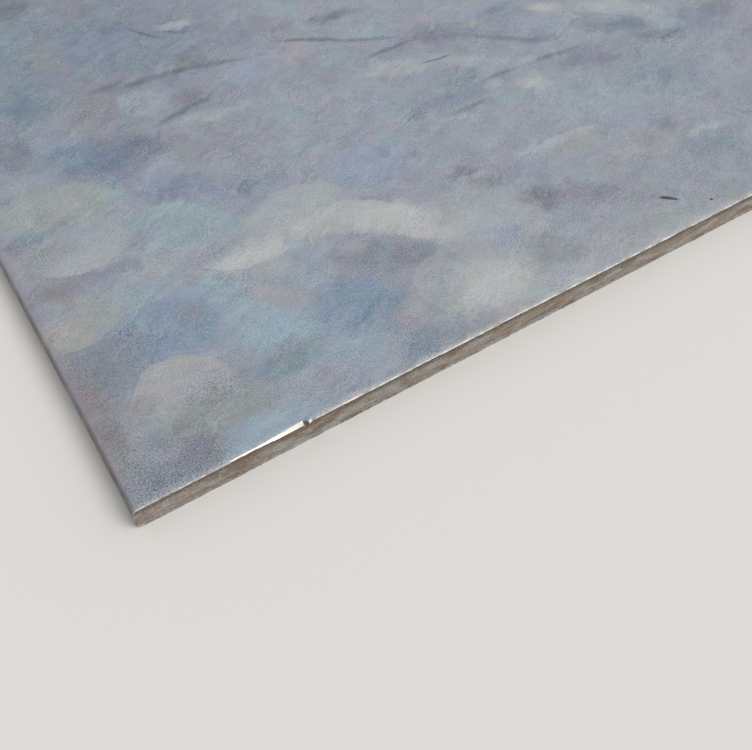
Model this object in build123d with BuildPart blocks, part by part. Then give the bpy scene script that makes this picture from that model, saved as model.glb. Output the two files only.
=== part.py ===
import os

from build123d import *

# A hot-rolled structural steel plate, one piece, lying flat as it is stacked and sold. Millimetres.
# X runs across the rolling direction, Y along it and Z up. The origin is the middle of the underside.
# The long sides are rolled edges, left as the mill made them. The ends are cut by a guillotine shear,
# whose blade came down on the top surface.

plate_width = 1500.0  # crown to crown, across the rolling direction
plate_length = 3000.0  # land to land, along the rolling direction
plate_thickness = 16.0

# Rolled edge: the middle bulges past the corners, and the corners are well rounded.
edge_crown = 1.6  # how far the middle stands beyond the corners, before those are rounded
edge_rounding = 3.0  # radius of those corners

# Sheared end, from the top down: rolled-over arris, burnished land, torn fracture, burr.
rollover_radius = 0.9
fracture_height = 6.0  # from the underside up to the land
fracture_setback = 0.9  # how far the foot of the fracture lies behind the land
fracture_hollow = 0.25  # sag of the fracture's concave face
burr_height = 0.8  # the burr is bent outward and lies level with the underside
burr_reach = 0.5

# Step where two strokes of the blade met on the near end, measured from the left edge's crown.
# The second stroke shaved a widening sliver off the arris. Where the sliver broke out it left a tear,
# which goes deeper down the land from the same line and soon runs out in the arris again.
shave_start = 49.5
shave_length = 40.0
shave_width = 2.5  # on the top surface, at the wide end of the sliver and of the tear
shave_depth = 0.8  # down the land, at the wide end
tear_length = 4.5  # along the arris
tear_depth = 2.2  # down the land, at the wide end

near_land = -plate_length / 2
fracture_foot = near_land + fracture_setback
shave_tip = -plate_width / 2 + shave_start
shave_end = shave_tip + shave_length
tear_tip = shave_end + tear_length
blade_clearance = 1.0  # how far each cutting shape runs out past the steel

os.makedirs("parts", exist_ok=True)


with BuildPart() as steel_plate:
    # Strip as it leaves the rolls: the section across the plate, run along the rolling direction.
    with BuildSketch(Plane.XZ):
        corner_x = plate_width / 2 - edge_crown
        with BuildLine():
            Line((-corner_x, plate_thickness), (corner_x, plate_thickness))
            ThreePointArc(
                (corner_x, plate_thickness),
                (plate_width / 2, plate_thickness / 2),
                (corner_x, 0),
            )
            Line((corner_x, 0), (-corner_x, 0))
            ThreePointArc(
                (-corner_x, 0),
                (-plate_width / 2, plate_thickness / 2),
                (-corner_x, plate_thickness),
            )
        make_face()
        fillet(vertices(), radius=edge_rounding)
    extrude(amount=plate_length / 2, both=True)

    # Cut to length: what both shear cuts leave of the strip, seen from the side.
    with BuildSketch(Plane.YZ):
        with BuildLine():
            Line((0, plate_thickness), (near_land, plate_thickness))
            Line((near_land, plate_thickness), (near_land, fracture_height))
            SagittaArc(
                (near_land, fracture_height), (fracture_foot, burr_height), fracture_hollow
            )
            Line((fracture_foot, burr_height), (fracture_foot - burr_reach, 0))
            Line((fracture_foot - burr_reach, 0), (0, 0))
            mirror(about=Plane.YZ)
        make_face()
        arrises = vertices().group_by(Axis.Y)[-1].sort_by(Axis.X)
        fillet([arrises[0], arrises[-1]], radius=rollover_radius)
    extrude(amount=plate_width / 2 + blade_clearance, both=True, mode=Mode.INTERSECT)

    # Shaved sliver and tear: two bevels of the arris, which start back to back at one place along it
    # and each run out to a point.
    for depth, tip in ((shave_depth, shave_tip), (tear_depth, tear_tip)):
        with BuildSketch(Plane.YZ.offset(shave_end)) as bevel_section:
            with BuildLine():
                Polyline(
                    (near_land + shave_width, plate_thickness),
                    (near_land, plate_thickness - depth),
                    (near_land - blade_clearance, plate_thickness + blade_clearance),
                    close=True,
                )
            make_face()
        bevel_tip = Vertex(tip, near_land, plate_thickness)
        loft(sections=[bevel_section.sketch.face(), bevel_tip], mode=Mode.SUBTRACT)

steel_plate.part.label = "steel_plate"
export_step(steel_plate.part, "parts/steel_plate.step")
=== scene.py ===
from math import cos, pi, radians, sin

import bmesh
import bpy
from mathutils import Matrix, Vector, noise


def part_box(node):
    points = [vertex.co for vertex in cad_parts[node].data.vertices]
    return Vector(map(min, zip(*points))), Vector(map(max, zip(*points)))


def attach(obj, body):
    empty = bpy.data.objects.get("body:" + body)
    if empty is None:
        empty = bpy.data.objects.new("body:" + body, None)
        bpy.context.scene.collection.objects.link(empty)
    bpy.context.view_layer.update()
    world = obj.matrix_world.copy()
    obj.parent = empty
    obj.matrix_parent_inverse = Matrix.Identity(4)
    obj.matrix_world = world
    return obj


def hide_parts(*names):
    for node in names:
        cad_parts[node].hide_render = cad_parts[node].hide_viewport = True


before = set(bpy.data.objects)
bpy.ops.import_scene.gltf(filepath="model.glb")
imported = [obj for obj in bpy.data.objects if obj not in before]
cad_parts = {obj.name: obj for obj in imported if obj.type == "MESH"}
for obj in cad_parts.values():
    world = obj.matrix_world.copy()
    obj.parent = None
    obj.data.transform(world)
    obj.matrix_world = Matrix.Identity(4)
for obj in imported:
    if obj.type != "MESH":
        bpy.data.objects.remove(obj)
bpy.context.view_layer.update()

mm = 0.001
tiny = 1e-6  # metres, what counts as the same place
low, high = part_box("steel_plate")
plateWidth, plateLength, plateThickness = high - low
corner = Vector((low.x, low.y, high.z))  # near left corner of the top face
print("frame loaded")


# Camera: a phone held over the near left corner

cameraSettings = {
    "imageWidth": 752,
    "focalPixels": 911.9,  # from the vanishing points of the plate's edges
    "left": 10.6 * mm,  # from the corner
    "before": 222.2 * mm,
    "above": 364.5 * mm,
    "heading": 57.71,  # degrees from the sheared end's direction
    "down": 53.40,
}


def makeCamera(settings):
    data = bpy.data.cameras.new("camera")
    data.sensor_width = 36
    data.lens = data.sensor_width * settings["focalPixels"] / settings["imageWidth"]
    data.clip_start = 0.01
    camera = bpy.data.objects.new("camera", data)
    camera.location = corner + Vector((-settings["left"], -settings["before"], settings["above"]))
    heading, down = radians(settings["heading"]), radians(settings["down"])
    camera.rotation_euler = (pi / 2 - down, 0, heading - pi / 2)
    bpy.context.scene.collection.objects.link(camera)
    bpy.context.scene.camera = camera


makeCamera(cameraSettings)
bpy.context.scene.view_settings.view_transform = "Standard"
print("camera placed")


# The plate's mesh: a wire of its side view, spun out straight across the width, with finer columns along
# the sheared ends. Every vertex is then put in its place.

steelPlate = {
    "roundReach": 3.6 * mm,  # how far the rolled edge's rounding reaches in from its crown
    "roundPower": 3.0,  # 2 would be an ellipse, more is squarer
    "roundColumns": 10,
    "flatColumns": 150,
    "columnSpread": 0.4,  # 0 spaces the columns evenly, more gathers them at the edges
    "rows": 70,
    "rowSpread": 0.85,
    # rows between the points of an end's side view, the same above and below, so that both halves meet
    # at the crown of the rolled edge
    "endRows": [2, 0, 7, 6, 0, 0, 2],
    "nearCuts": 7,  # finer columns along the near end
    "farCuts": 2,
    "margin": 12 * mm,  # the fine strip of the flat faces along a sheared end
    "edgeWander": 0.6 * mm,  # the rolled edge isn't quite straight
    "edgeWaves": (170 * mm, 40 * mm),
    "edgeCalm": 60 * mm,  # from the corners, which stay put
    "rollover": 0.9 * mm,
    "rolloverSegments": 5,
    "ragged": 0.22 * mm,  # wander of the arris
    "raggedWave": 2.2 * mm,
    "landWave": 25 * mm,  # along the arris, of how far down it is burnished
    "fractureHeight": 6 * mm,
    "fractureWander": 1.3 * mm,
    "fractureWaves": (24 * mm, 6 * mm),
    "fractureSetback": 0.9 * mm,
    "hollowPower": 2.5,  # 1 would be a straight slope, more is hollower
    "fractureGrain": 0.22 * mm,
    "grainWaves": (2.6 * mm, 1.1 * mm),
    "dragMarks": 0.12 * mm,  # grooves that the blade left down the land
    "dragWave": 1.5 * mm,
    "burrHeight": 0.8 * mm,
    "burrReach": 0.5 * mm,
    "burrWaves": (7 * mm, 1.7 * mm),
    "burnishedShare": 0.62,  # of the rollover's height, in the middle of its wander
    "scaleShare": 0.2,  # of it, where the scale reaches round the arris
    "shaveStart": 49.5 * mm,  # from the corner
    "shaveLength": 40 * mm,
    "shaveWidth": 2.5 * mm,
    "shaveDepth": 0.8 * mm,
    "tearLength": 4.5 * mm,
    "tearDepth": 2.2 * mm,
    # the part of the tear along the arris that gets the darker sheared steel, as painted shade on its steep
    # facet
    "tearShaded": 2.6 * mm,  # the dark part of the tear, along the arris
    # gouges in the top face: both ends from the corner, half widths at them, depth, all in mm
    "gouges": [
        ((342, 28.0), (351, 19.5), 1.1, 0.4, 1.2),
        ((366.2, 10.4), (367.2, 9.8), 0.6, 0.5, 0.7),
    ],
    "gougeMargin": 4 * mm,  # of finer faces around a gouge
    "gougeCuts": 11,
    "sharpAngle": 30,  # degrees
}

faceKinds = ["millScale", "shearedSteel", "burnishedSteel", "shavedSteel"]


def wave(x, y, size, seed=0):  # smooth chance, from -1 to 1
    return noise.noise(Vector((x / size + seed, y / size, 0)))


def sideProfile(bm, s):  # closed wire, with the top arrises rounded
    half, t = plateLength / 2, plateThickness
    foot = s["fractureSetback"]
    nearEnd = [
        (s["margin"], t), (s["margin"] / 3, t), (0, t), (0, s["fractureHeight"]),
        (foot, s["burrHeight"]), (foot - s["burrReach"], 0), (s["margin"] / 3, 0), (s["margin"], 0),
    ]
    places = [(inset - half, z) for inset, z in nearEnd]
    places += [(half - inset, z) for inset, z in reversed(nearEnd)]
    verts = [bm.verts.new((0, y, z)) for y, z in places]
    edges = [bm.edges.new(pair) for pair in zip(verts, verts[1:] + verts[:1])]
    cuts = s["endRows"] + [s["rows"]] + s["endRows"][::-1] + [s["rows"]]
    for edge, count in zip(edges, cuts):
        if count:
            bmesh.ops.subdivide_edges(bm, edges=[edge], cuts=count)
    arrises = [v for v in bm.verts if v.co.z > t - tiny and abs(v.co.y) > half - tiny]
    bmesh.ops.bevel(
        bm, geom=arrises, offset=s["rollover"], segments=s["rolloverSegments"], profile=0.5,
        affect="VERTICES", material=-1,
    )


def spread(share, amount):  # 0 to 1, gathered towards both ends
    return share - amount * sin(2 * pi * share) / (2 * pi)


def columnPlace(column, s):  # x of a counted column, and the share of the thickness left there
    rounded, flat, reach = s["roundColumns"], s["flatColumns"], s["roundReach"]
    last = 2 * rounded + flat
    fromEdge = min(column, last - column)
    if fromEdge >= rounded:
        share = spread((column - rounded) / flat, s["columnSpread"])
        return low.x + reach + share * (plateWidth - 2 * reach), 1.0
    angle = fromEdge / rounded * pi / 2
    power = 2 / s["roundPower"]
    inset = reach * (1 - cos(angle) ** power)
    x = low.x + inset if column < last / 2 else high.x - inset
    return x, sin(angle) ** power


def cutColumns(bm, s, land, cuts):  # finer columns in the strip along one sheared end
    first, last = s["roundColumns"], s["roundColumns"] + s["flatColumns"]
    across = [
        e for e in bm.edges
        if all(abs(v.co.y - land) < s["margin"] * 1.01 and first <= v.co.x <= last for v in e.verts)
        and abs(e.verts[0].co.x - e.verts[1].co.x) > 0.5
    ]
    bmesh.ops.subdivide_edges(bm, edges=across, cuts=cuts, use_grid_fill=True)


def bevelAt(x, nearEnd, s):  # width and depth of the arris, and how far it is a straight bevel
    soft = s["rollover"]
    if not nearEnd:
        return soft, soft, 0.0
    along = x - low.x - s["shaveStart"] - s["shaveLength"]
    grown = 1 + along / s["shaveLength"] if along <= 0 else 1 - along / s["tearLength"]
    if grown <= 0:
        return soft, soft, 0.0
    depth = s["shaveDepth"] if along <= 0 else s["tearDepth"]
    width = max(s["shaveWidth"] * grown, soft)
    return width, soft + (depth - soft) * grown, grown ** 0.5


def endPlace(x, inset, z, nearEnd, s):  # inset and height of a vertex of a sheared end
    t, soft, seam, foot = plateThickness, s["rollover"], s["fractureHeight"], s["fractureSetback"]
    seed = 0 if nearEnd else 50  # so that the two ends differ
    if z < tiny and inset < foot:  # lip of the burr
        tear = 0.75 + 0.4 * wave(x, 2, s["burrWaves"][0], seed) + 0.3 * wave(x, 3, s["burrWaves"][1], seed)
        return foot - s["burrReach"] * min(max(tear, 0.2), 1), z
    if z < tiny or inset > soft + tiny:  # flat faces
        return inset, z

    width, depth, straight = bevelAt(x, nearEnd, s)
    longWave, shortWave = s["fractureWaves"]
    seamThere = seam + s["fractureWander"] * (wave(x, 0, longWave, seed) + 0.4 * wave(x, 5, shortWave, seed))
    drag = s["dragMarks"] * (1 + wave(x, 1, s["dragWave"], seed)) * 0.5
    if z > t - soft - tiny:  # arris
        share = (t - z + soft - inset) / (2 * soft)
        ragged = s["ragged"] * wave(x, 4, s["raggedWave"], seed) * sin(pi * share)
        flatInset, flatZ = width * (1 - share), t - depth * share
        roundInset, roundZ = width * inset / soft, t - depth * (t - z) / soft
        newInset = roundInset + (flatInset - roundInset) * straight
        newZ = roundZ + (flatZ - roundZ) * straight
        return max(newInset + ragged + drag * share, 0), newZ
    if z > seam - tiny:  # land
        share = (z - seam) / (t - soft - seam)
        return drag, seamThere + (t - depth - seamThere) * share

    # fracture
    share = min((seam - z) / (seam - s["burrHeight"]), 1)
    hollow = foot * (1 - (1 - share) ** s["hollowPower"])
    coarse, fine = s["grainWaves"]
    grain = s["fractureGrain"] * (wave(x, z, coarse, seed) + 0.8 * wave(x, z, fine, seed + 9))
    burr = s["burrHeight"] * (1 + 0.5 * wave(x, 6, 2 * mm, seed))
    return max(hollow + grain * min(6 * share, 1), 0.0), seamThere + (burr - seamThere) * share


def kindAt(x, z, nearEnd, s):  # kind of steel at a place on a sheared end
    soft, shaved = s["rollover"], s["shaveLength"]
    fromTop = plateThickness - z
    along = x - low.x - s["shaveStart"]
    if nearEnd and 0 < along < shaved + s["tearLength"]:
        grown = soft * min(0.1 + 1.3 * along / shaved, 1)  # the sliver grows out of a point
        if fromTop < grown:
            # the tear's first part gets the darker sheared steel as painted shade, the rest the bright shaved
            # steel
            return "shearedSteel" if shaved < along < shaved + s["tearShaded"] else "shavedSteel"
    burnished = soft * (s["burnishedShare"] + 0.5 * wave(x, 8, s["landWave"]))
    if nearEnd and along < 0:  # by the photographed corner the scale reaches round the arris
        if fromTop < s["scaleShare"] * soft:
            return "millScale"
        burnished = soft
    return "burnishedSteel" if fromTop < burnished else "shearedSteel"


def facesByKind(bm, s):
    for face in bm.faces:
        column, y, z = face.calc_center_median()
        if plateLength / 2 - abs(y) <= s["fractureSetback"] and z >= 0.05 * mm:
            kind = kindAt(columnPlace(column, s)[0], z, y < 0, s)
            face.material_index = faceKinds.index(kind)


def pressGouges(bm, s):
    for start, end, startWidth, endWidth, depth in s["gouges"]:
        start = corner + Vector((*start, 0)) * mm
        end = corner + Vector((*end, 0)) * mm
        middle, run = (start + end) / 2, end - start
        around = run.length / 2 + s["gougeMargin"]
        near = {
            e for f in bm.faces for e in f.edges
            if f.normal.z > 0.99 and (f.calc_center_median() - middle).length < around
        }
        bmesh.ops.subdivide_edges(bm, edges=list(near), cuts=s["gougeCuts"], use_grid_fill=True)
        for v in bm.verts:
            if v.co.z < high.z - tiny or (v.co - middle).length > around:
                continue
            share = min(max((v.co - start).dot(run) / run.length_squared, 0), 1)
            width = (startWidth + (endWidth - startWidth) * share) * mm
            width *= 1 + 0.3 * wave(v.co.x, v.co.y, 1.5 * mm)  # a torn rim
            away = (v.co - start - run * share).length / width
            if away < 1:
                v.co.z -= depth * mm * (1 - away ** 2) * (1 - 0.5 * share)


def finalPlace(counted, s):  # of a vertex whose x still counts the columns
    half, middle = plateLength / 2, plateThickness / 2
    columns = 2 * s["roundColumns"] + s["flatColumns"]
    column, y, z = counted
    x, left = columnPlace(column, s)
    side = 1 if y > 0 else -1
    inset = half - abs(y)
    if inset > s["margin"] + tiny:
        free = half - s["margin"]
        share = spread((y / free + 1) / 2, s["rowSpread"])
        y = (2 * share - 1) * free
    else:
        narrows = inset < s["fractureSetback"] * 1.05  # the end's relief runs out at the crown
        inset, z = endPlace(x, inset, z, side < 0, s)
        y = side * (half - inset * (left if narrows else 1))
    if left < 1:
        calm = min((half - abs(y)) / s["edgeCalm"], 1)
        longWave, shortWave = s["edgeWaves"]
        wander = 0.5 + 0.5 * wave(y, column // columns, longWave) + 0.3 * wave(y, 7, shortWave)
        wander = min(max(wander, 0), 1) * s["edgeWander"] * calm
        x += wander if column < columns / 2 else -wander
    return x, y, middle + (z - middle) * left


def makePlate(s):
    bm = bmesh.new()
    sideProfile(bm, s)
    bmesh.ops.spin(
        bm, geom=bm.verts[:] + bm.edges[:], cent=(0, 0, 0), axis=(1, 0, 0),
        dvec=(1, 0, 0), angle=0, steps=2 * s["roundColumns"] + s["flatColumns"], use_merge=False,
    )
    cutColumns(bm, s, -plateLength / 2, s["nearCuts"])
    cutColumns(bm, s, plateLength / 2, s["farCuts"])
    facesByKind(bm, s)
    for v in bm.verts:
        v.co = finalPlace(v.co, s)
    # close the crowns of the rolled edges, where the upper and the lower half meet
    bmesh.ops.remove_doubles(bm, verts=bm.verts, dist=2 * tiny)
    bmesh.ops.dissolve_degenerate(bm, dist=tiny / 10, edges=bm.edges)
    bmesh.ops.recalc_face_normals(bm, faces=bm.faces)
    pressGouges(bm, s)
    bm.normal_update()
    for face in bm.faces:
        face.smooth = True
    for edge in bm.edges:
        edge.smooth = len(edge.link_faces) == 2 and edge.calc_face_angle() < radians(s["sharpAngle"])
    mesh = bpy.data.meshes.new("steelPlate")
    bm.to_mesh(mesh)
    bm.free()
    piece = bpy.data.objects.new("steelPlate", mesh)
    bpy.context.scene.collection.objects.link(piece)
    return piece


plate = makePlate(steelPlate)
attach(plate, "root")
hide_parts("steel_plate")
print("plate modelled,", len(plate.data.polygons), "faces")


# Materials: helpers

def tone(hexColour):
    channels = [int(hexColour[i:i + 2], 16) / 255 for i in (1, 3, 5)]
    linear = [c / 12.92 if c <= 0.04045 else ((c + 0.055) / 1.055) ** 2.4 for c in channels]
    return (*linear, 1)


def addNode(tree, kind, inputs, output=0, **settings):  # gives the output that the next node needs
    node = tree.nodes.new("ShaderNode" + kind)
    for name, value in settings.items():
        setattr(node, name, value)
    for name, value in inputs.items():
        if isinstance(value, bpy.types.NodeSocket):
            tree.links.new(value, node.inputs[name])
        else:
            node.inputs[name].default_value = value
    return node.outputs[output] if node.outputs else None


def newMaterial(name):  # with Object coordinates in mm from the near left corner of the top face
    material = bpy.data.materials.new(name)
    material.use_nodes = True
    tree = material.node_tree
    tree.nodes.clear()
    place = addNode(tree, "Mapping", {
        "Vector": addNode(tree, "TexCoord", {}, "Object"),
        "Location": [-c / mm for c in corner], "Scale": (1 / mm, 1 / mm, 1 / mm),
    })
    return material, tree, place


# Mill scale: the blue grey oxide skin of hot-rolled steel. Dull and slightly glossy, clouded in blue,
# teal and mauve where it cooled unevenly, with the crisp edged marks of water that dried on it.

millScale = {
    "tones": {
        "lavender": "#949aa6",
        "mauve": "#878a93",
        "darkMauve": "#797d89",
        "dark": "#666b76",
        "umber": "#827d80",
        "pink": "#90878f",
        # partly the rolled edge's darker scale, partly painted shade
        "edgeShade": "#4c4848",
        "tan": "#a59f9a",
        "olive": "#8a9092",
        "paleOlive": "#979d9d",
        "blue": "#7e90a3",
        "deepBlue": "#6c7a8f",
        "indigo": "#727788",
        "steelBlue": "#7d889a",
        "violet": "#909baf",
        "lilac": "#8b8fa9",
        "sky": "#91a3b1",
        "teal": "#90a1aa",
        "deepTeal": "#7c8c98",
        "pinkGrey": "#9d9ca3",
        "waterGrey": "#a0a0a4",
        "pale": "#a2a8ad",
        "cream": "#b0aea9",
        "white": "#b4b7b8",
        # painted highlight along the sheared arris
        "scuffed": "#c3c4c3",
        # rust and painted shade in the gouges
        "gouged": "#3e4147",
    },
    "depthScale": 12,  # height counts for more, so that the faces' patterns differ
    # how outlines bend: size and reach in mm, detail
    "bends": {
        "ragged": (16, 24, 5),  # clouds, drifts and wipes
        "smooth": (22, 9, 2),  # water marks
        "slight": (40, 7, 2),  # streaks
        "large": (70, 100, 3),  # water marks left to chance
    },
    "mottleSize": 12,  # mm, of the largest mottles
    "mottleStrength": 0.13,
    "mottleSaturation": 0.45,
    # strokes where the face was wiped or dragged over: turn, width and length in mm, strength
    "wipes": [(34, 1.4, 15, 0.1), (-36, 1.5, 22, 0.14), (-24, 8, 38, 0.09)],
    "wipePatch": 26,  # mm, of the places where they show
    # the photographed corner, cut in zones so that no shader has to hold all of its clouds
    "zoneColumns": [0, 110, 230, 560],  # mm from the corner
    "zoneRows": [0, 120, 240, 450],
    "zoneDepth": 6,  # mm down from the top face, as far as a mark reaches
    "depthFade": 2,  # mm either side
    "zoneMargin": 22,  # how far a bent outline may stray into the next zone
    # where the plate cooled unevenly: tone, size across and along in mm, shift, start and full of its
    # patches, strength. The broad ones run along the rolling direction.
    "drifts": [
        ("steelBlue", 280, 1700, 500, 0.44, 0.62, 0.8),
        ("mauve", 170, 900, 40, 0.46, 0.62, 0.8),
        ("pale", 120, 1500, 5200, 0.5, 0.66, 0.5),
        ("blue", 170, 210, 900, 0.5, 0.64, 0.7),
        ("darkMauve", 130, 100, 1700, 0.52, 0.66, 0.8),
        ("teal", 80, 70, 2600, 0.52, 0.68, 0.6),
        ("pale", 100, 75, 3300, 0.54, 0.68, 0.6),
        ("deepBlue", 120, 90, 4700, 0.57, 0.7, 0.7),
        ("white", 150, 90, 6100, 0.58, 0.7, 0.6),
    ],
    "busySize": 420,  # mm, of the places where those patches show most
    "busyFade": (0.42, 0.6),
    "busyLeast": 0.35,
    # sides of what the photograph shows: direction of the outward normal, how far out in mm
    "shownSides": [(57, 430), (-43, 285), (141, 170)],
    "shownFade": (15, 35),  # mm inside and outside of them
    # soft clouds of the photographed corner, painted one over another: tone, x and y in mm from the
    # corner, half sizes in mm, turn in degrees, softness, strength
    "clouds": [
        # by the corner and the rolled edge
        ("darkMauve", 22, 84, 38, 34, 0, 0.8, 0.75),
        ("umber", 6, 52, 20, 62, 0, 0.9, 0.8),
        ("olive", 56, 28, 44, 27, 0, 0.7, 0.9),
        ("darkMauve", 42, 13, 19, 12, 20, 0.9, 0.9),
        ("darkMauve", 24, 28, 12, 11, 0, 0.9, 0.6),
        ("darkMauve", 24, 9, 36, 16, 0, 0.9, 0.8),
        ("sky", 78, 5, 38, 14, 0, 0.7, 1),
        ("paleOlive", 25, 124, 30, 20, 0, 0.8, 0.7),
        ("tan", 9, 111, 22, 12, 0, 0.6, 1),
        ("mauve", 16, 148, 30, 14, 0, 0.9, 1),
        ("umber", 20, 141, 24, 10, 0, 0.9, 0.5),
        ("darkMauve", 45, 144, 30, 8, 0, 0.9, 0.6),
        ("olive", 20, 174, 26, 14, 0, 0.8, 0.7),
        ("deepTeal", 32, 192, 24, 11, 0, 0.8, 1),
        ("darkMauve", 10, 189, 13, 11, 0, 0.9, 0.8),
        # blue and cyan beyond the first water mark
        ("blue", 64, 90, 42, 31, 0, 0.6, 0.9),
        ("violet", 76, 106, 22, 14, 0, 0.8, 0.8),
        ("sky", 94, 96, 12, 24, 10, 0.8, 0.8),
        ("mauve", 74, 93, 12, 10, 0, 0.9, 0.7),
        ("darkMauve", 40, 92, 11, 11, 0, 0.9, 0.6),
        ("sky", 107, 61, 42, 26, -20, 0.7, 1),
        ("deepTeal", 102, 39, 28, 13, 0, 0.7, 1),
        ("sky", 138, 28, 30, 32, 0, 0.8, 0.6),
        ("blue", 152, 52, 34, 27, 0, 0.7, 1),
        ("sky", 140, 83, 18, 15, 0, 0.9, 0.6),
        ("violet", 152, 92, 18, 11, 0, 0.9, 0.6),
        ("deepTeal", 166, 12, 25, 14, 30, 0.8, 0.7),
        ("pinkGrey", 176, 33, 20, 14, 40, 0.9, 0.8),
        ("darkMauve", 188, 74, 44, 28, -28, 0.8, 0.4),
        ("darkMauve", 200, 56, 26, 16, -20, 0.9, 0.6),
        ("pale", 194, 40, 24, 30, 0, 0.9, 0.6),
        # pale bank from the left edge to the sheared end
        ("teal", 60, 119, 30, 15, 0, 0.8, 0.9),
        ("pale", 78, 131, 34, 13, 0, 0.9, 0.5),
        ("teal", 96, 147, 38, 18, 0, 0.8, 0.9),
        ("white", 124, 114, 36, 15, 5, 0.8, 0.8),
        ("pale", 137, 133, 30, 15, 0, 0.9, 0.7),
        ("pale", 128, 96, 16, 10, 0, 0.9, 0.7),
        ("cream", 160, 114, 36, 20, -10, 0.8, 0.5),
        ("white", 163, 116, 30, 18, -20, 0.9, 0.5),
        ("sky", 143, 110, 10, 15, 0, 0.9, 0.6),
        ("pale", 172, 137, 26, 17, -10, 0.6, 0.8),
        ("white", 203, 93, 42, 21, -38, 0.7, 0.9),
        ("pale", 234, 70, 34, 30, -30, 0.8, 0.9),
        ("olive", 190, 24, 18, 24, 0, 0.9, 0.6),
        ("white", 222, 24, 42, 32, 0, 0.8, 0.9),
        ("tan", 205, 1, 26, 6, 0, 0.8, 0.5),
        # dark blue and mauve beyond it
        ("deepBlue", 80, 234, 46, 27, -25, 0.7, 0.9),
        ("indigo", 106, 230, 26, 20, 0, 0.9, 0.7),
        ("blue", 66, 250, 22, 22, 0, 0.7, 0.8),
        ("teal", 73, 201, 18, 15, -40, 0.9, 0.7),
        ("steelBlue", 82, 212, 22, 13, -30, 0.9, 0.8),
        ("steelBlue", 108, 186, 34, 16, -15, 0.7, 1),
        ("lilac", 124, 171, 19, 13, -35, 0.8, 0.7),
        ("steelBlue", 147, 166, 23, 15, -10, 0.8, 0.7),
        ("mauve", 152, 205, 44, 32, 0, 0.8, 0.4),
        ("mauve", 128, 218, 16, 16, 0, 0.9, 0.7),
        ("violet", 214, 143, 36, 27, 0, 0.7, 1),
        ("sky", 236, 150, 18, 14, 0, 0.9, 0.6),
        ("steelBlue", 229, 147, 9, 7, 0, 0.9, 0.7),
        ("teal", 198, 207, 18, 15, 0, 0.9, 0.7),
        ("teal", 187, 180, 20, 15, 0, 0.9, 0.6),
        # along the sheared end
        ("pale", 262, 62, 52, 40, -20, 0.9, 0.6),
        ("pale", 262, 48, 40, 9, -28, 0.9, 0.7),
        ("violet", 248, 50, 16, 13, 0, 0.8, 0.7),
        ("olive", 262, 24, 28, 22, -40, 0.9, 0.8),
        ("darkMauve", 286, 63, 17, 15, -35, 0.7, 1),
        ("darkMauve", 307, 55, 18, 14, -20, 0.9, 0.65),
        ("mauve", 326, 44, 34, 14, -34, 0.9, 0.8),
        ("pinkGrey", 300, 20, 26, 18, 0, 0.8, 0.6),
        ("pale", 262, 8, 46, 14, 0, 0.8, 0.9),
        ("pale", 335, 5, 66, 13, 0, 0.8, 0.9),
        ("paleOlive", 330, 13, 18, 10, 0, 0.8, 0.8),
        ("paleOlive", 360, 12, 20, 10, 0, 0.8, 0.7),
        ("pinkGrey", 362, 68, 42, 18, 0, 0.8, 0.7),
        ("mauve", 372, 71, 10, 9, 0, 0.8, 0.7),
        ("mauve", 395, 72, 13, 12, 0, 0.8, 0.8),
        ("pale", 411, 58, 22, 8, -10, 0.8, 0.8),
        ("deepTeal", 407, 45, 28, 15, 0, 0.9, 0.7),
        ("olive", 380, 8, 18, 13, 0, 0.8, 0.6),
        ("darkMauve", 254, 107, 16, 7, 0, 0.8, 0.7),
        ("darkMauve", 264, 92, 15, 9, 0, 0.8, 0.6),
        ("paleOlive", 334, 91, 32, 14, 0, 0.9, 0.8),
        ("violet", 300, 95, 14, 20, 0, 0.9, 0.9),
        ("pale", 300, 100, 16, 12, 0, 0.9, 0.4),
        ("violet", 371, 92, 18, 14, 0, 0.9, 0.6),
        # middle of the picture
        ("sky", 366, 122, 44, 22, -30, 0.9, 0.4),
        ("sky", 405, 108, 60, 36, -20, 0.9, 0.3),
        ("teal", 327, 147, 18, 12, 0, 0.9, 0.8),
        ("deepTeal", 428, 118, 44, 30, -20, 0.9, 0.7),
        ("steelBlue", 293, 168, 32, 20, -10, 0.8, 0.7),
        ("deepTeal", 312, 178, 24, 17, 0, 0.8, 0.7),
        ("teal", 254, 176, 20, 18, 0, 0.9, 0.6),
        ("darkMauve", 265, 168, 9, 9, 0, 0.9, 0.8),
        ("pale", 282, 214, 32, 15, -30, 0.7, 0.9),
        ("pale", 326, 196, 42, 12, -38, 0.9, 0.8),
        ("indigo", 400, 153, 42, 16, -14, 0.8, 0.6),
        ("white", 348, 152, 20, 9, -50, 0.9, 0.7),
        ("darkMauve", 324, 231, 36, 14, -15, 0.8, 0.8),
        ("lilac", 364, 237, 26, 11, -15, 0.8, 0.5),
        ("paleOlive", 355, 229, 18, 5, -50, 0.8, 0.8),
        ("deepBlue", 379, 232, 16, 10, 0, 0.9, 0.6),
        ("violet", 394, 206, 24, 15, -40, 0.8, 0.7),
        ("darkMauve", 424, 189, 18, 18, 0, 0.9, 0.6),
        ("white", 408, 218, 22, 9, -35, 0.8, 0.7),
        ("deepBlue", 443, 172, 30, 14, -20, 0.8, 0.8),
        ("pale", 452, 193, 38, 12, -32, 0.7, 1),
        ("pale", 468, 171, 14, 18, 0, 0.8, 0.8),
        ("sky", 473, 155, 17, 17, -40, 0.8, 0.8),
        ("steelBlue", 492, 150, 28, 20, -30, 0.8, 0.8),
        ("darkMauve", 455, 151, 36, 10, -15, 0.8, 0.8),
        ("darkMauve", 512, 155, 18, 15, 0, 0.8, 0.8),
        # along the rolled edge
        ("steelBlue", 118, 345, 150, 120, -30, 0.9, 0.75),
        ("deepTeal", 100, 390, 90, 60, -30, 0.9, 0.6),
        ("indigo", 130, 340, 190, 150, -20, 0.9, 0.22),
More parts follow.
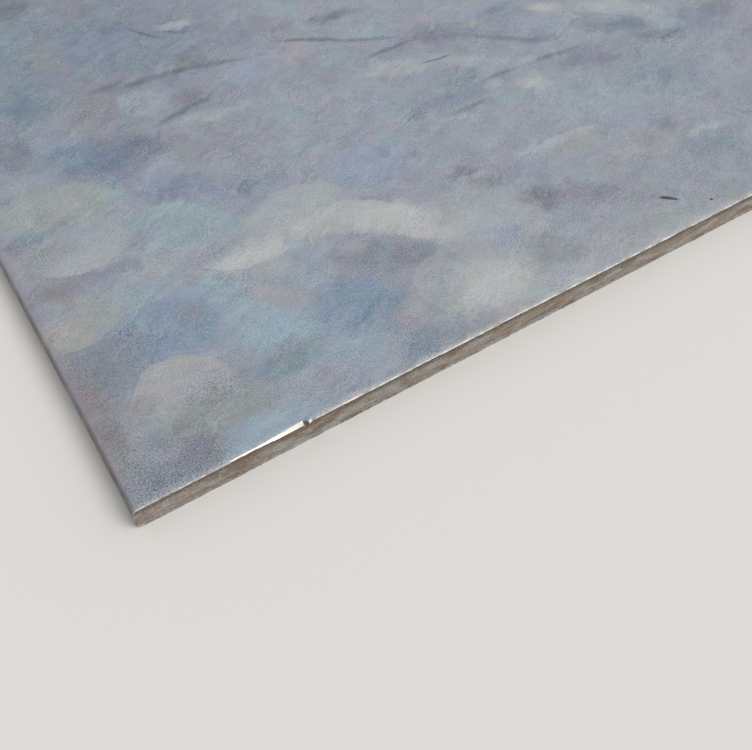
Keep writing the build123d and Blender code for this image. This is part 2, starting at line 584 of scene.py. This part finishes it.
        ("deepTeal", 62, 360, 26, 120, -8, 0.8, 0.9),
        ("mauve", 96, 282, 38, 54, 0, 0.8, 0.8),
        ("indigo", 36, 265, 20, 34, 0, 0.8, 0.7),
        ("deepTeal", 58, 312, 24, 38, 0, 0.6, 1),
        ("deepBlue", 56, 308, 16, 26, 0, 0.9, 0.9),
        ("olive", 90, 350, 25, 30, 0, 0.8, 0.7),
        ("steelBlue", 126, 346, 46, 33, 0, 0.8, 1),
        ("blue", 122, 340, 30, 26, 0, 0.9, 0.4),
        ("deepTeal", 136, 371, 28, 10, -15, 0.8, 0.8),
        ("deepBlue", 138, 357, 18, 12, 0, 0.8, 0.6),
        ("mauve", 122, 388, 24, 12, 0, 0.8, 0.7),
        ("mauve", 112, 405, 36, 15, -30, 0.8, 0.8),
        ("deepTeal", 88, 416, 22, 16, 0, 0.8, 1),
        ("dark", 84, 420, 30, 20, 0, 0.9, 0.8),
        ("deepTeal", 130, 312, 26, 14, 0, 0.8, 0.8),
        ("steelBlue", 150, 314, 18, 20, 0, 0.8, 0.8),
        ("darkMauve", 165, 297, 20, 13, 0, 0.9, 0.9),
        ("pale", 126, 266, 15, 20, 20, 0.7, 0.5),
        ("teal", 114, 273, 8, 16, 0, 0.8, 0.8),
        ("darkMauve", 151, 257, 15, 18, -30, 0.9, 0.9),
        ("violet", 200, 264, 32, 24, 0, 0.8, 0.8),
        ("steelBlue", 175, 325, 26, 24, 0, 0.8, 0.8),
        ("pale", 179, 336, 20, 7, -15, 0.8, 0.8),
        ("steelBlue", 206, 306, 32, 17, 0, 0.8, 0.5),
        ("mauve", 235, 302, 22, 25, 0, 0.8, 0.8),
        ("teal", 246, 320, 26, 14, -30, 0.8, 0.8),
        ("pinkGrey", 235, 265, 17, 14, 0, 0.8, 0.8),
        ("teal", 252, 246, 20, 22, -40, 0.8, 0.6),
        ("darkMauve", 274, 290, 30, 10, -10, 0.8, 0.9),
        ("teal", 288, 256, 30, 16, -20, 0.8, 0.8),
        ("pinkGrey", 326, 251, 28, 10, -10, 0.8, 0.8),
        ("pale", 146, 239, 15, 8, 0, 0.8, 0.7),
        ("pale", 163, 233, 24, 6, 5, 0.8, 0.7),
    ],
    # patches that end crisply all round
    "lenses": [
        ("paleOlive", 42, 206, 39, 22, -10, 0.35, 0.8),
        ("violet", 100, 197, 15, 9, 0, 0.35, 0.6),
        ("pinkGrey", 120, 76, 22, 9, -42, 0.4, 0.7),
    ],
    # dried water: tone, centre, how far it reaches to its crisp rim, half width, direction of that rim in
    # degrees, strength
    "waterMarks": [
        ("waterGrey", 49, 30, 43, 31, 95, 1),
        ("pale", 52, 38, 33, 25, 100, 0.35),
        ("pale", 42, 182, 33, 37, -87, 0.85),
        ("paleOlive", 17, 126, 25, 33, -92, 0.8),
        ("teal", 87, 142, 37, 41, 64, 1),
        ("pale", 160, 118, 33, 35, 78, 0.8),
        ("white", 185, 90, 30, 42, 50, 0.6),
        ("darkMauve", 174, 60, 31, 44, 66, 0.3),
        ("white", 119, 124, 19, 26, -90, 0.8),
        ("pale", 217, 30, 38, 28, 142, 0.4),
        ("white", 344, 162, 15, 14, -52, 0.3),
        ("white", 330, 92, 12, 30, 88, 0.45),
        ("steelBlue", 140, 320, 36, 40, 135, 0.5),
        ("pinkGrey", 226, 255, 17, 24, 60, 0.6),
        ("pale", 268, 205, 21, 26, 80, 0.5),
    ],
    "rimSoftness": 0.04,  # as a share of the mark
    "markFade": 0.75,  # how soon a mark is full on the way to its rim
    # dark streaks that a dragged edge or a hook left, as the clouds
    "streaks": [
        ("darkMauve", 296, 155, 26, 3.5, 2, 0.8, 0.8),
        ("darkMauve", 336, 172, 20, 3.5, -3, 0.8, 0.9),
        ("darkMauve", 379, 170, 30, 3.5, -1, 0.8, 0.9),
        ("darkMauve", 288, 234, 32, 3.5, 0, 0.8, 0.8),
        ("darkMauve", 361, 205, 36, 4.5, -38, 0.8, 1),
        ("darkMauve", 381, 190, 22, 6, -20, 0.8, 0.8),
        ("dark", 138, 291, 44, 5, -6, 0.8, 0.8),
        ("dark", 180, 282, 32, 4, -13, 0.8, 0.6),
        ("dark", 110, 297, 20, 4, 2, 0.8, 0.5),
        ("dark", 250, 271, 36, 3.5, -30, 0.8, 0.8),
        ("dark", 284, 251, 28, 3.5, -26, 0.8, 0.6),
        ("dark", 154, 342, 21, 2.4, -58, 0.8, 0.9),
        ("dark", 171, 333, 16, 2.4, -32, 0.8, 0.7),
        ("dark", 141, 248, 30, 4, 14, 0.8, 0.7),
        ("deepTeal", 108, 254, 18, 4, -4, 0.8, 0.8),
        ("dark", 309, 209, 18, 1.3, -2, 0.6, 0.9),
        ("dark", 290, 234.5, 24, 1.2, 0, 0.6, 0.6),
        ("dark", 118, 234, 9, 1.8, 60, 0.8, 0.5),
        ("dark", 264, 104, 8, 3, 0, 0.8, 0.5),
    ],
    # thin veils over the water marks, as the clouds
    "veils": [
        ("deepTeal", 28, 192, 22, 8, 0, 0.9, 0.7),
        ("umber", 17, 166, 18, 12, 0, 0.9, 0.35),
        ("lavender", 193, 125, 18, 9, -38, 0.9, 0.8),
        ("pale", 61, 165, 15, 11, 0, 0.9, 0.6),
        ("umber", 27, 50, 13, 14, 0, 0.9, 0.55),
        ("sky", 64, 14, 15, 7, 0, 0.9, 0.5),
        ("pale", 181, 20, 12, 9, 0, 0.9, 0.6),
        ("pale", 170, 90, 13, 9, -30, 0.9, 0.5),
        ("white", 220, 71, 18, 12, -30, 0.9, 0.6),
    ],
    # floors of the two gouges, dark with rust and painted shade, as the clouds
    "gougeFloors": [
        ("gouged", 346.5, 23.8, 7, 1.7, -43, 0.5, 1),
        ("gouged", 366.7, 10.1, 1.5, 1.1, -40, 0.5, 1),
    ],
    # elsewhere the dried water falls by chance: tone, cell size in mm, shift, radius in cells, strength
    "bloom": [
        ("pale", 85, 310, 0.42, 0.8),
        ("teal", 60, 720, 0.45, 0.8),
        ("white", 130, 1500, 0.36, 0.7),
    ],
    "grainSize": 0.9,  # mm; the real grain is about half of this and wouldn't show
    "grainStrength": 0.15,
    "grainPatch": 30,  # mm, of the places where the grain is coarser
    "cornerGrain": (62, 30, 0.16),  # half sizes in mm of the coarser corner, strength
    # tones along the rolled edges: tone, start and full in mm from the crown, strength. The darkest is partly
    # darker scale and partly painted shade.
    "edgeTones": [("pink", 7, 3, 0.6), ("edgeShade", 2.5, 0.6, 1.0)],
    "edgePatch": 14,  # mm
    # painted highlight along the sheared arris, in ragged flecks:
    "highlightReach": 9,  # mm in from the arris, at most
    "highlightFade": (0.5, 4.2),  # mm, from none to full
    "highlightCalm": (15, 75, 0.2),  # fewer by the corner: from and to in mm, the share left there
    "roughness": (0.46, 0.6),  # in the hollows of the grain and on its tops
    "bumpStrength": 0.3,
    "bumpHeight": 0.15 * mm,
}


def paintClouds(tree, colour, place, s, clouds):  # soft ellipses, one over another
    for name, x, y, along, across, turn, softness, strength in clouds:
        spot = addNode(tree, "Mapping", {
            "Vector": place, "Location": (x, y, 0), "Rotation": (0, 0, radians(turn)),
            "Scale": (along, across, s["zoneDepth"]),
        }, vector_type="TEXTURE")
        spot = addNode(tree, "TexGradient", {"Vector": spot}, "Fac", gradient_type="SPHERICAL")
        mask = addNode(tree, "MapRange", {
            "Value": spot, "From Max": softness, "To Max": strength,
        }, interpolation_type="SMOOTHSTEP")
        colour = addNode(tree, "Mix", {0: mask, 6: colour, 7: tone(s["tones"][name])}, 2, data_type="RGBA")
    return colour


def paintWaterMarks(tree, colour, place, s, marks):  # half ellipses that fade in up to a crisp rim
    for name, x, y, reach, across, turn, strength in marks:
        spot = addNode(tree, "Mapping", {
            "Vector": place, "Location": (x, y, 0), "Rotation": (0, 0, radians(turn)),
            "Scale": (reach, across, s["zoneDepth"]),
        }, vector_type="TEXTURE")
        inside = addNode(tree, "TexGradient", {"Vector": spot}, "Fac", gradient_type="SPHERICAL")
        body = addNode(tree, "MapRange", {"Value": inside, "From Max": s["rimSoftness"], "To Max": strength})
        towards = addNode(tree, "TexGradient", {"Vector": spot}, "Fac")
        mask = addNode(tree, "MapRange", {
            "Value": towards, "From Max": s["markFade"], "To Max": body,
        }, interpolation_type="SMOOTHSTEP")
        colour = addNode(tree, "Mix", {0: mask, 6: colour, 7: tone(s["tones"][name])}, 2, data_type="RGBA")
    return colour


def cloudZones(s):
    columns, rows = s["zoneColumns"], s["zoneRows"]
    return [(x, y) for x in zip(columns, columns[1:]) for y in zip(rows, rows[1:])]


def inZone(s, listName, zone):  # the marks of a list that reach into a zone or come near it
    (left, right), (bottom, top) = zone
    for mark in s[listName]:
        x, y, reach = mark[1], mark[2], max(mark[3:5]) + s["zoneMargin"]
        if left - reach < x < right + reach and bottom - reach < y < top + reach:
            yield mark


def bendPlace(tree, place, deep, bend):
    size, reach, detail = bend
    shift = addNode(tree, "TexNoise", {
        "Vector": deep, "Scale": 1 / size, "Detail": detail, "Roughness": 0.65,
    }, "Color")
    shift = addNode(tree, "VectorMath", {0: shift, 1: (0.5, 0.5, 0.5)}, operation="SUBTRACT")
    shift = addNode(tree, "VectorMath", {0: shift, 1: (reach, reach, 0)}, operation="MULTIPLY")
    return addNode(tree, "VectorMath", {0: place, 1: shift}, operation="ADD")


def leftToChance(tree, place, ragged, s):  # 0 where the photograph shows the plate, 1 elsewhere
    inside, outside = s["shownFade"]
    depth, fade = s["zoneDepth"], s["depthFade"]
    chance = addNode(tree, "SeparateXYZ", {"Vector": place}, "Z")
    chance = addNode(tree, "MapRange", {"Value": chance, "From Min": fade - depth, "From Max": -fade - depth})
    for turn, limit in s["shownSides"]:
        out = addNode(tree, "VectorMath", {
            0: ragged, 1: (cos(radians(turn)), sin(radians(turn)), 0),
        }, "Value", operation="DOT_PRODUCT")
        out = addNode(tree, "MapRange", {
            "Value": out, "From Min": limit - inside, "From Max": limit + outside,
        })
        chance = addNode(tree, "Math", {0: chance, 1: out}, operation="MAXIMUM")
    return chance


def paintDrifts(tree, colour, ragged, chance, busy, s):
    for name, across, along, shift, start, full, strength in s["drifts"]:
        cloud = addNode(tree, "Mapping", {
            "Vector": ragged, "Location": (shift / across, shift / across, 0),
            "Scale": (1 / across, 1 / along, s["depthScale"] / across),
        })
        cloud = addNode(tree, "TexNoise", {"Vector": cloud, "Scale": 1, "Detail": 2})
        broad = along > 2 * across
        here = addNode(tree, "MapRange", {
            "Value": chance if broad else busy, "To Min": strength * 0.2, "To Max": strength,
        })
        mask = addNode(tree, "MapRange", {
            "Value": cloud, "From Min": start, "From Max": full, "To Max": here,
        }, interpolation_type="SMOOTHSTEP")
        colour = addNode(tree, "Mix", {0: mask, 6: colour, 7: tone(s["tones"][name])}, 2, data_type="RGBA")
    return colour


def paintBloom(tree, colour, place, busy, s):  # a drop in some cells, faded out towards one side
    for name, size, shift, radius, strength in s["bloom"]:
        cell = addNode(tree, "Mapping", {
            "Vector": place, "Location": (shift / size, shift / size, 0),
            "Scale": (1 / size, 1.3 / size, s["depthScale"] / size),
        })
        drop = addNode(tree, "TexVoronoi", {"Vector": cell, "Scale": 1}).node.outputs
        chosen = addNode(tree, "SeparateColor", {"Color": drop["Color"]}).node.outputs
        reach = addNode(tree, "MapRange", {
            "Value": chosen["Green"], "To Min": 0.5 * radius, "To Max": radius,
        })
        inside = addNode(tree, "Math", {0: drop["Distance"], 1: reach}, operation="DIVIDE")
        body = addNode(tree, "MapRange", {"Value": inside, "From Min": 1, "From Max": 0.93, "To Max": busy})
        aside = addNode(tree, "VectorMath", {0: cell, 1: drop["Position"]}, operation="SUBTRACT")
        aside = addNode(tree, "SeparateXYZ", {"Vector": aside}, "Y")
        faded = addNode(tree, "MapRange", {
            "Value": aside, "From Min": -radius, "From Max": radius * 0.6, "To Max": body,
        })
        mask = addNode(tree, "MapRange", {
            "Value": chosen["Red"], "From Min": 0.4, "From Max": 0.9, "To Max": faded,
        })
        mask = addNode(tree, "Math", {0: mask, 1: strength}, operation="MULTIPLY")
        colour = addNode(tree, "Mix", {0: mask, 6: colour, 7: tone(s["tones"][name])}, 2, data_type="RGBA")
    return colour


def paintMottle(tree, colour, deep, s):
    mottle = addNode(tree, "TexNoise", {
        "Vector": deep, "Scale": 1 / s["mottleSize"], "Detail": 4, "Roughness": 0.75,
    }, "Color")
    mottle = addNode(tree, "HueSaturation", {"Color": mottle, "Saturation": s["mottleSaturation"]})
    return addNode(tree, "Mix", {
        0: s["mottleStrength"], 6: colour, 7: mottle,
    }, 2, data_type="RGBA", blend_type="LINEAR_LIGHT")


def paintWipes(tree, colour, deep, ragged, s):
    for turn, width, length, strength in s["wipes"]:
        # shifted by the turn, so that their patches differ
        here = addNode(tree, "Mapping", {"Vector": deep, "Location": (turn * 9, 0, 0)})
        here = addNode(tree, "TexNoise", {"Vector": here, "Scale": 1 / s["wipePatch"], "Detail": 2})
        here = addNode(tree, "MapRange", {
            "Value": here, "From Min": 0.44, "From Max": 0.62, "To Min": 0.2 * strength, "To Max": strength,
        })
        wiped = addNode(tree, "Mapping", {"Vector": ragged, "Rotation": (0, 0, radians(turn))})
        wiped = addNode(tree, "Mapping", {"Vector": wiped, "Scale": (1 / length, 1 / width, 1)})
        wiped = addNode(tree, "TexNoise", {"Vector": wiped, "Scale": 1, "Detail": 2})
        colour = addNode(tree, "Mix", {
            0: here, 6: colour, 7: wiped,
        }, 2, data_type="RGBA", blend_type="LINEAR_LIGHT")
    return colour


def paintGrain(tree, colour, grain, deep, ragged, s):  # coarser in some places, and by the corner
    most = s["grainStrength"]
    along, across, more = s["cornerGrain"]
    rough = addNode(tree, "TexNoise", {"Vector": deep, "Scale": 1 / s["grainPatch"], "Detail": 1})
    rough = addNode(tree, "MapRange", {
        "Value": rough, "From Min": 0.4, "From Max": 0.65, "To Min": 0.5 * most, "To Max": most,
    })
    worn = addNode(tree, "Mapping", {
        "Vector": ragged, "Scale": (along, across, s["zoneDepth"]),
    }, vector_type="TEXTURE")
    worn = addNode(tree, "TexGradient", {"Vector": worn}, "Fac", gradient_type="SPHERICAL")
    rough = addNode(tree, "Math", {0: worn, 1: more, 2: rough}, operation="MULTIPLY_ADD")
    flecked = addNode(tree, "MapRange", {"Value": grain, "From Min": 0.34, "From Max": 0.66})
    return addNode(tree, "Mix", {
        0: rough, 6: colour, 7: flecked,
    }, 2, data_type="RGBA", blend_type="LINEAR_LIGHT")


def paintEdges(tree, colour, place, grain, s):  # by the distance from the nearer rolled or sheared edge
    fromMiddle = addNode(tree, "TexCoord", {}, "Object")
    fromMiddle = addNode(tree, "VectorMath", {0: fromMiddle}, operation="ABSOLUTE")
    fromMiddle = addNode(tree, "SeparateXYZ", {"Vector": fromMiddle}).node.outputs
    patchy = addNode(tree, "TexNoise", {"Vector": place, "Scale": 1 / s["edgePatch"], "Detail": 3})
    for name, start, full, strength in s["edgeTones"]:
        patches = addNode(tree, "MapRange", {
            "Value": patchy, "From Min": 0.3, "From Max": 0.6, "To Min": strength * 0.5, "To Max": strength,
        })
        mask = addNode(tree, "MapRange", {
            "Value": fromMiddle["X"], "From Min": plateWidth / 2 - start * mm,
            "From Max": plateWidth / 2 - full * mm, "To Max": patches,
        })
        colour = addNode(tree, "Mix", {0: mask, 6: colour, 7: tone(s["tones"][name])}, 2, data_type="RGBA")

    # painted highlight along the sheared arris, in ragged patches
    calmFrom, calmTo, calmShare = s["highlightCalm"]
    start, full = s["highlightFade"]
    sparkle = addNode(tree, "MapRange", {
        "Value": grain, "From Min": 0.4, "From Max": 0.58, "To Min": 0.1, "To Max": 1,
    })
    fromCorner = addNode(tree, "SeparateXYZ", {"Vector": place}, "X")
    most = addNode(tree, "MapRange", {
        "Value": fromCorner, "From Min": calmFrom, "From Max": calmTo, "To Min": calmShare, "To Max": sparkle,
    })
    scuffed = addNode(tree, "Math", {
        0: patchy, 1: s["highlightReach"] * mm, 2: fromMiddle["Y"],
    }, operation="MULTIPLY_ADD")
    scuffed = addNode(tree, "MapRange", {
        "Value": scuffed, "From Min": plateLength / 2 + start * mm, "From Max": plateLength / 2 + full * mm,
        "To Max": most,
    }, interpolation_type="SMOOTHSTEP")
    shade = tone(s["tones"]["scuffed"])
    return addNode(tree, "Mix", {0: scuffed, 6: colour, 7: shade}, 2, data_type="RGBA")


def makeMillScale(s, zone=None):  # outside the zones there are no listed marks
    material, tree, place = newMaterial("millScale")
    deep = addNode(tree, "Mapping", {"Vector": place, "Scale": (1, 1, s["depthScale"])})
    bent = {name: bendPlace(tree, place, deep, bend) for name, bend in s["bends"].items()}
    ragged = bent["ragged"]
    chance = leftToChance(tree, place, ragged, s)
    busy = addNode(tree, "TexNoise", {"Vector": deep, "Scale": 1 / s["busySize"], "Detail": 2})
    start, full = s["busyFade"]
    busy = addNode(tree, "MapRange", {
        "Value": busy, "From Min": start, "From Max": full, "To Min": s["busyLeast"], "To Max": 1,
    })
    busy = addNode(tree, "Math", {0: busy, 1: chance}, operation="MULTIPLY")

    colour = tone(s["tones"]["lavender"])
    colour = paintDrifts(tree, colour, ragged, chance, busy, s)
    colour = paintBloom(tree, colour, bent["large"], busy, s)
    if zone:
        colour = paintClouds(tree, colour, ragged, s, inZone(s, "clouds", zone))
        colour = paintClouds(tree, colour, bent["smooth"], s, inZone(s, "lenses", zone))
        colour = paintWaterMarks(tree, colour, bent["smooth"], s, inZone(s, "waterMarks", zone))
        for listName in ("streaks", "veils", "gougeFloors"):
            colour = paintClouds(tree, colour, bent["slight"], s, inZone(s, listName, zone))
    colour = paintMottle(tree, colour, deep, s)
    colour = paintWipes(tree, colour, deep, ragged, s)
    grain = addNode(tree, "TexNoise", {
        "Vector": place, "Scale": 1 / s["grainSize"], "Detail": 3, "Roughness": 0.8,
    })
    colour = paintGrain(tree, colour, grain, deep, ragged, s)
    colour = paintEdges(tree, colour, place, grain, s)

    bump = addNode(tree, "Bump", {
        "Strength": s["bumpStrength"], "Distance": s["bumpHeight"], "Height": grain,
    })
    hollow, top = s["roughness"]
    roughness = addNode(tree, "MapRange", {
        "Value": grain, "From Min": 0.3, "From Max": 0.7, "To Min": hollow, "To Max": top,
    })
    surface = addNode(tree, "BsdfPrincipled", {
        "Base Color": colour, "Roughness": roughness, "Normal": bump, "IOR": 1.5,
    })
    addNode(tree, "OutputMaterial", {"Surface": surface})
    return material


# Sheared steel: a land that the blade burnished, since gone brown, over a torn grey fracture. The land is
# darkest right under the arris.

shearedSteel = {
    "tones": {
        "land": "#8c7c6b",
        "underArris": "#4c4136",
        "landGrey": "#9a9b9b",
        "landPale": "#a5a099",
        "brown": "#6f5946",
        "rust": "#96704f",
        "fracture": "#8a837d",
        "fleck": "#cbc8c1",
        "pit": "#4a4540",
    },
    "fractureFrom": -9.0,  # mm, down from the top face
    "fractureWander": 1.6,  # mm, up and down
    "fractureWave": 4,  # mm
    "fractureStrength": 0.75,
    # patches: tone, size along and up in mm, shift, start and full, strength
    "patches": [
        ("landGrey", (28, 10), 10, 0.46, 0.62, 0.8),
        ("brown", (24, 9), 300, 0.47, 0.62, 0.8),
        ("landPale", (15, 4), 550, 0.5, 0.64, 0.8),
        ("rust", (9, 3), 700, 0.56, 0.7, 0.6),
        ("pit", (5, 1.2), 900, 0.55, 0.68, 0.7),
    ],
    "shadeFade": (-5.5, -1),  # mm, between which the land darkens towards the arris
    "shadeStrength": 0.95,
    "grainSize": 1.1,  # mm
    # specks in the grain: tone, start and full, strength
    "specks": [("fleck", 0.56, 0.72, 0.7), ("pit", 0.46, 0.3, 0.8)],
    "roughness": 0.55,
    "bumpStrength": 0.5,
    "bumpHeight": 0.2 * mm,
}


def makeShearedSteel(s):
    material, tree, place = newMaterial("shearedSteel")
    tones = {name: tone(hexColour) for name, hexColour in s["tones"].items()}
    colour = tones["land"]

    height = addNode(tree, "SeparateXYZ", {"Vector": place}, "Z")
    wander = addNode(tree, "TexNoise", {"Vector": place, "Scale": 1 / s["fractureWave"], "Detail": 3})
    wander = addNode(tree, "MapRange", {
        "Value": wander, "From Min": 0.3, "From Max": 0.7,
        "To Min": -s["fractureWander"], "To Max": s["fractureWander"],
    })
    torn = addNode(tree, "Math", {0: height, 1: wander}, operation="ADD")
    torn = addNode(tree, "MapRange", {
        "Value": torn, "From Min": s["fractureFrom"], "From Max": s["fractureFrom"] - s["fractureWander"],
        "To Max": s["fractureStrength"],
    })
    colour = addNode(tree, "Mix", {0: torn, 6: colour, 7: tones["fracture"]}, 2, data_type="RGBA")

    for name, (along, up), shift, start, full, strength in s["patches"]:
        patch = addNode(tree, "Mapping", {
            "Vector": place, "Location": (shift / along, 0, 0), "Scale": (1 / along, 1 / along, 1 / up),
        })
        patch = addNode(tree, "TexNoise", {"Vector": patch, "Scale": 1, "Detail": 3, "Roughness": 0.6})
        mask = addNode(tree, "MapRange", {
            "Value": patch, "From Min": start, "From Max": full, "To Max": strength,
        }, interpolation_type="SMOOTHSTEP")
        colour = addNode(tree, "Mix", {0: mask, 6: colour, 7: tones[name]}, 2, data_type="RGBA")
    start, full = s["shadeFade"]
    under = addNode(tree, "MapRange", {
        "Value": height, "From Min": start, "From Max": full, "To Max": s["shadeStrength"],
    })
    colour = addNode(tree, "Mix", {0: under, 6: colour, 7: tones["underArris"]}, 2, data_type="RGBA")

    grain = addNode(tree, "TexNoise", {
        "Vector": place, "Scale": 1 / s["grainSize"], "Detail": 3, "Roughness": 0.7,
    })
    for name, start, full, strength in s["specks"]:
        mask = addNode(tree, "MapRange", {
            "Value": grain, "From Min": start, "From Max": full, "To Max": strength,
        })
        colour = addNode(tree, "Mix", {0: mask, 6: colour, 7: tones[name]}, 2, data_type="RGBA")
    bump = addNode(tree, "Bump", {
        "Strength": s["bumpStrength"], "Distance": s["bumpHeight"], "Height": grain,
    })
    surface = addNode(tree, "BsdfPrincipled", {
        "Base Color": colour, "Roughness": s["roughness"], "Normal": bump,
    })
    addNode(tree, "OutputMaterial", {"Surface": surface})
    return material


# Burnished and shaved steel: bare metal where the blade drew the arris over or shaved it off. The first has
# dulled in patches, and the second still shines nearly white.

bareSteels = {
    "burnishedSteel": {"bright": "#d4d2cd", "dull": "#8f8b87", "roughness": 0.4},
    "shavedSteel": {"bright": "#f4f1ea", "dull": "#e2ddd2", "roughness": 0.35},
}
dullPatch = 11  # mm


def makeBareSteel(name, s):
    material, tree, place = newMaterial(name)
    worn = addNode(tree, "TexNoise", {
        "Vector": place, "Scale": 1 / dullPatch, "Detail": 4, "Roughness": 0.7,
    })
    mask = addNode(tree, "MapRange", {"Value": worn, "From Min": 0.38, "From Max": 0.62})
    bright, dull = tone(s["bright"]), tone(s["dull"])
    colour = addNode(tree, "Mix", {0: mask, 6: bright, 7: dull}, 2, data_type="RGBA")
    bump = addNode(tree, "Bump", {"Strength": 0.3, "Distance": 0.1 * mm, "Height": worn})
    surface = addNode(tree, "BsdfPrincipled", {
        "Base Color": colour, "Roughness": s["roughness"], "Metallic": 0.3, "Normal": bump,
    })
    addNode(tree, "OutputMaterial", {"Surface": surface})
    return material


def finishPlate(mesh):
    finishes = {name: makeBareSteel(name, s) for name, s in bareSteels.items()}
    finishes["millScale"] = makeMillScale(millScale)
    finishes["shearedSteel"] = makeShearedSteel(shearedSteel)
    for kind in faceKinds:
        mesh.materials.append(finishes[kind])
    for zone in cloudZones(millScale):
        (left, right), (bottom, top) = zone
        for face in mesh.polygons:
            x, y, z = (face.center - corner) / mm
            inside = left <= max(x, 0) < right and bottom <= y < top and z > -millScale["zoneDepth"]
            if inside and face.material_index == faceKinds.index("millScale"):
                face.material_index = len(mesh.materials)
        mesh.materials.append(makeMillScale(millScale, zone))


finishPlate(plate.data)
print("steel finished")


# Floor and light: a matt pale floor under a large softbox

studio = {
    "floorSize": 60.0,  # metres
    "floorTone": "#e4e2de",
    "backdropTone": "#e2e0dc",
    "sunStrength": 1.6,
    "sunAngle": 35,  # degrees
    "sunTurn": (35, 25, 0),  # degrees
    "worldStrength": 0.55,
}


def makeStudio(s):
    bm = bmesh.new()
    bmesh.ops.create_grid(bm, x_segments=1, y_segments=1, size=s["floorSize"] / 2)
    mesh = bpy.data.meshes.new("floor")
    bm.to_mesh(mesh)
    bm.free()
    floor = bpy.data.objects.new("floor", mesh)
    bpy.context.scene.collection.objects.link(floor)
    material, tree, _ = newMaterial("floorPaint")
    surface = addNode(tree, "BsdfPrincipled", {"Base Color": tone(s["floorTone"]), "Roughness": 0.9})
    addNode(tree, "OutputMaterial", {"Surface": surface})
    mesh.materials.append(material)

    sun = bpy.data.lights.new("softbox", "SUN")
    sun.energy = s["sunStrength"]
    sun.angle = radians(s["sunAngle"])
    lamp = bpy.data.objects.new("softbox", sun)
    lamp.rotation_euler = [radians(turn) for turn in s["sunTurn"]]
    bpy.context.scene.collection.objects.link(lamp)

    world = bpy.data.worlds.new("studio")
    world.use_nodes = True
    tree = world.node_tree
    tree.nodes.clear()
    # a pale backdrop for the camera and the gloss, a white sky for the rest
    seen = addNode(tree, "LightPath", {}, "Is Camera Ray")
    glossy = addNode(tree, "LightPath", {}, "Is Glossy Ray")
    seen = addNode(tree, "Math", {0: seen, 1: glossy}, operation="MAXIMUM")
    sky = addNode(tree, "Background", {"Color": (1, 1, 1, 1), "Strength": s["worldStrength"]})
    backdrop = addNode(tree, "Background", {"Color": tone(s["backdropTone"]), "Strength": 1})
    sky = addNode(tree, "MixShader", {0: seen, 1: sky, 2: backdrop})
    addNode(tree, "OutputWorld", {"Surface": sky})
    bpy.context.scene.world = world


makeStudio(studio)
print("studio lit")
